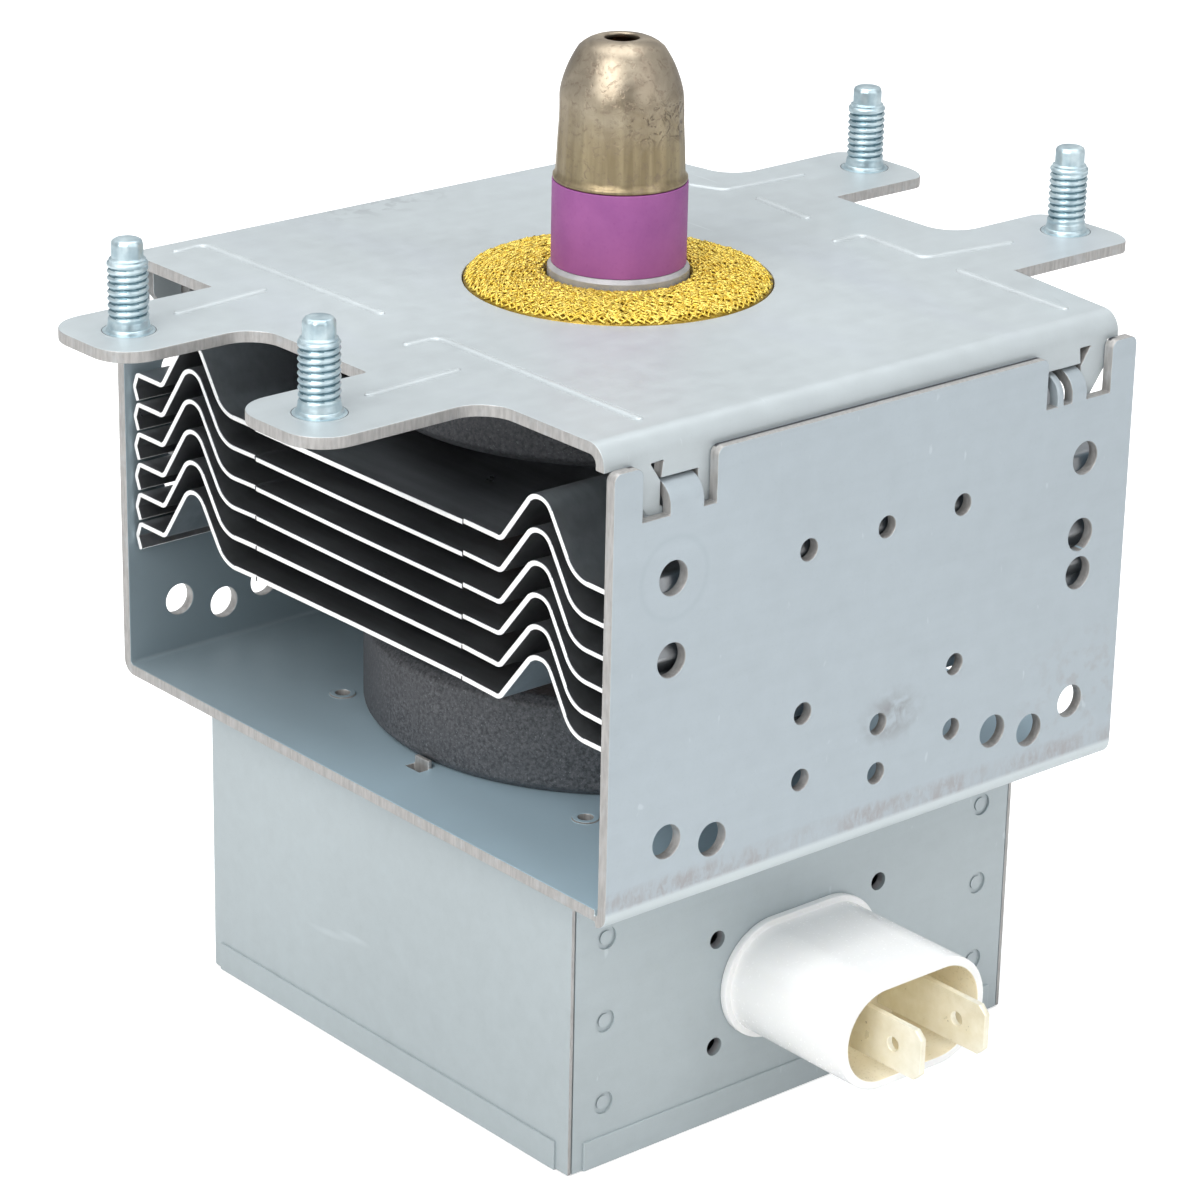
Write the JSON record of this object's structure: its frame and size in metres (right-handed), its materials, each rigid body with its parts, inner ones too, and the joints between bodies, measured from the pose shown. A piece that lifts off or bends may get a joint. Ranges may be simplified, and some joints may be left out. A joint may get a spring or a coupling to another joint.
{
  "type": "magnetron",
  "caption": "Magnetron with a folded steel yoke on four studded ears, humped cooling fins between ring magnets, a capped antenna in a mesh gasket and a filter box with a two-blade connector.",
  "frame": {"origin": "on the antenna axis, in the mounting face that is the top of the upper yoke", "axes": "+Z along the antenna towards its cap, +X along the side walls from one pair of ears to the other, -Y towards the connector"},
  "size_m": [0.1274, 0.1079, 0.1217],
  "materials": {
    "yoke_steel": "zinc plated, satin",
    "stud_steel": "bright zinc plated thread",
    "box_steel": "zinc plated, satin",
    "fin_aluminium": "mill finish",
    "ferrite": "matt sintered ferrite",
    "purple_ceramic": "matt purple alumina",
    "white_ceramic": "matt white alumina",
    "nickel_cap": "nickel, worn satin",
    "seal_steel": "plated drawn steel",
    "mesh_brass": "knitted wire",
    "copper": "oxygen-free copper, bright",
    "pole_iron": "bright iron",
    "cathode_metal": "molybdenum and tungsten",
    "white_plastic": "gloss, moulded",
    "tinned_brass": "tinned",
    "enamelled_wire": "enamelled"
  },
  "bodies": {
    "root": {"anode_shell": "copper", "anode_vane_1": "copper", "anode_vane_10": "copper", "anode_vane_2": "copper", "anode_vane_3": "copper", "anode_vane_4": "copper", "anode_vane_5": "copper", "anode_vane_6": "copper", "anode_vane_7": "copper", "anode_vane_8": "copper", "anode_vane_9": "copper", "antenna_cap": "nickel_cap", "antenna_ceramic": "purple_ceramic", "antenna_lead": "copper", "capacitor_block": "white_ceramic", "capacitor_plate": "seal_steel", "cathode_filament": "cathode_metal", "centre_lead": "cathode_metal", "choke_coil_1": "enamelled_wire", "choke_coil_2": "enamelled_wire", "connector_housing": "white_plastic", "cooling_fin_1": "fin_aluminium", "cooling_fin_2": "fin_aluminium", "cooling_fin_3": "fin_aluminium", "cooling_fin_4": "fin_aluminium", "cooling_fin_5": "fin_aluminium", "cooling_fin_6": "fin_aluminium", "exhaust_tube": "copper", "ferrite_rod_1": "ferrite", "ferrite_rod_2": "ferrite", "filter_box_body": "box_steel", "filter_box_lid": "box_steel", "filter_box_panel": "box_steel", "gasket_washer": "seal_steel", "lower_end_hat": "cathode_metal", "lower_magnet": "ferrite", "lower_pole_piece": "pole_iron", "lower_seal_cup": "seal_steel", "lower_yoke": "yoke_steel", "mounting_studs": "stud_steel", "rf_gasket": "mesh_brass", "side_lead": "cathode_metal", "stem_ceramic": "white_ceramic", "stem_terminal_1": "cathode_metal", "stem_terminal_2": "cathode_metal", "strap_ring_1": "copper", "strap_ring_2": "copper", "strap_ring_3": "copper", "strap_ring_4": "copper", "terminal_blade_1": "tinned_brass", "terminal_blade_2": "tinned_brass", "upper_end_hat": "cathode_metal", "upper_magnet": "ferrite", "upper_pole_piece": "pole_iron", "upper_seal_cup": "seal_steel", "upper_yoke": "yoke_steel"}
  },
  "joints": []
}
